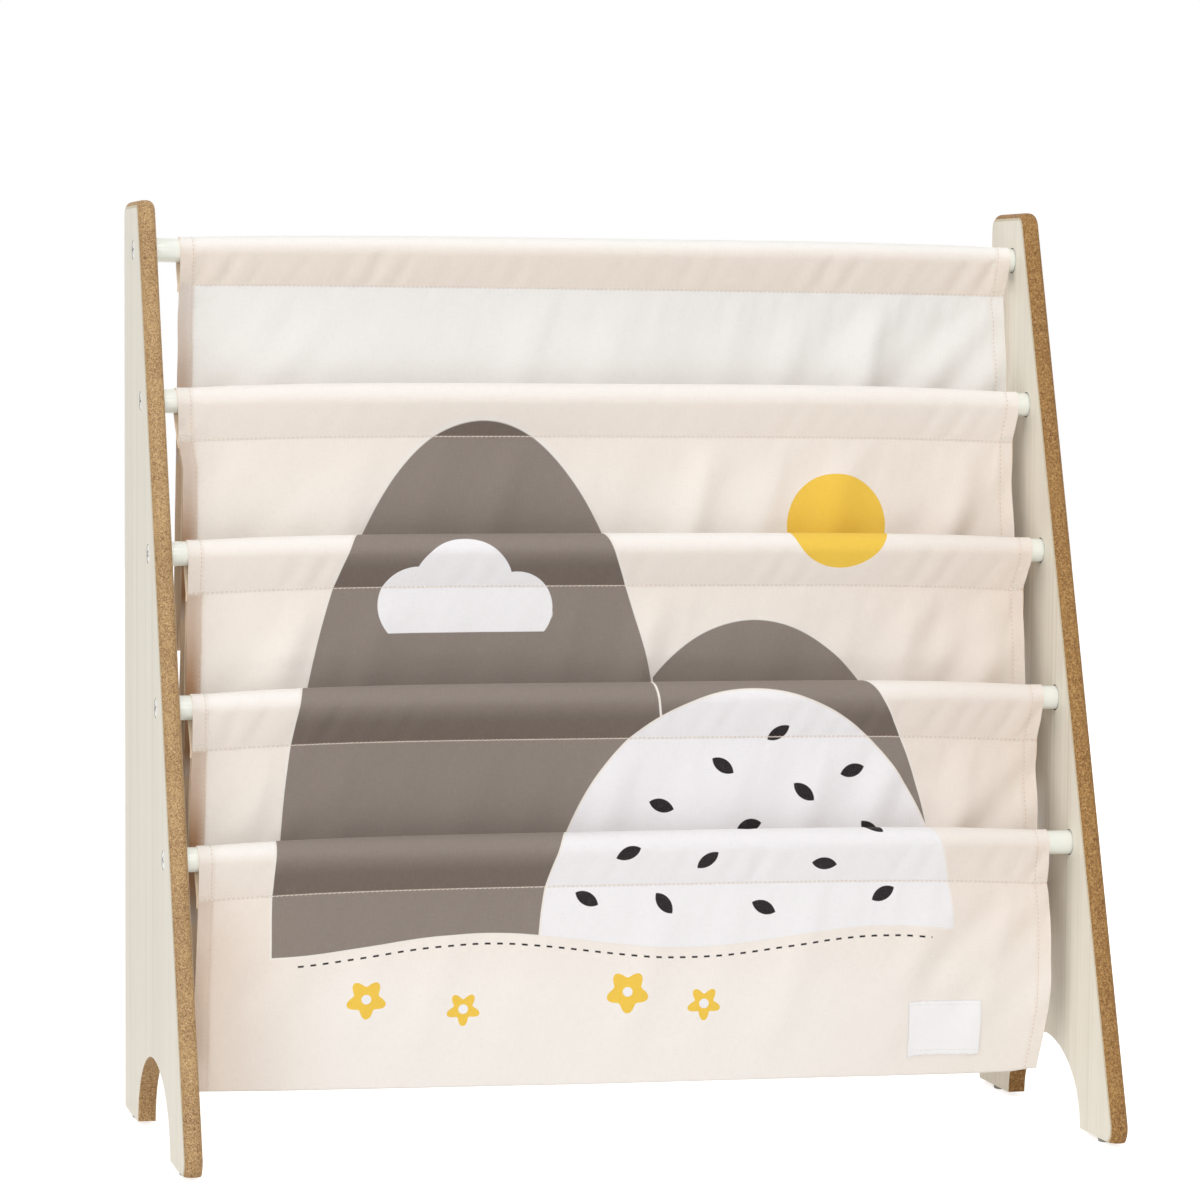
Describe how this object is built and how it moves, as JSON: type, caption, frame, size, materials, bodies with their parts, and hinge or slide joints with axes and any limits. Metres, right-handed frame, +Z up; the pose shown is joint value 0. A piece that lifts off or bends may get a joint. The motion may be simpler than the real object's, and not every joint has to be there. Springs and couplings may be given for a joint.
{
  "type": "sling bookshelf",
  "caption": "Free-standing child's book rack: a canvas sling hangs from cross rods between two sloping side panels and forms front-facing book pockets.",
  "frame": {"origin": "on the floor under the middle of the rack's box", "axes": "+Z up, +X to the right along the rods, and the front of the rack faces -Y"},
  "size_m": [0.622, 0.276, 0.613],
  "materials": {
    "side_panel": "pale wood-grain laminate on fibreboard with bare, rounded brown edges",
    "rod": "gloss white paint",
    "plug": "moulded, threaded bore",
    "screw": "white paint, cross recess",
    "glide": "grey moulded plastic",
    "canvas": "fine woven canvas, pale blush, with a printed design on the front",
    "patch": "white woven tape, blank"
  },
  "bodies": {
    "root": {"left_side_panel": "side_panel", "right_side_panel": "side_panel", "rod_1": "rod", "sleeve_1": "canvas", "rod_2": "rod", "sleeve_2": "canvas", "rod_3": "rod", "sleeve_3": "canvas", "rod_4": "rod", "sleeve_4": "canvas", "rod_5": "rod", "sleeve_5": "canvas", "left_plug_1": "plug", "left_screw_1": "screw", "left_plug_2": "plug", "left_screw_2": "screw", "left_plug_3": "plug", "left_screw_3": "screw", "left_plug_4": "plug", "left_screw_4": "screw", "left_plug_5": "plug", "left_screw_5": "screw", "left_back_glide": "glide", "left_front_glide": "glide", "right_plug_1": "plug", "right_screw_1": "screw", "right_plug_2": "plug", "right_screw_2": "screw", "right_plug_3": "plug", "right_screw_3": "screw", "right_plug_4": "plug", "right_screw_4": "screw", "right_plug_5": "plug", "right_screw_5": "screw", "right_back_glide": "glide", "right_front_glide": "glide", "pocket_1": "canvas", "pocket_2": "canvas", "pocket_3": "canvas", "pocket_4": "canvas", "front_panel": "canvas", "blank_patch": "patch"}
  },
  "joints": []
}
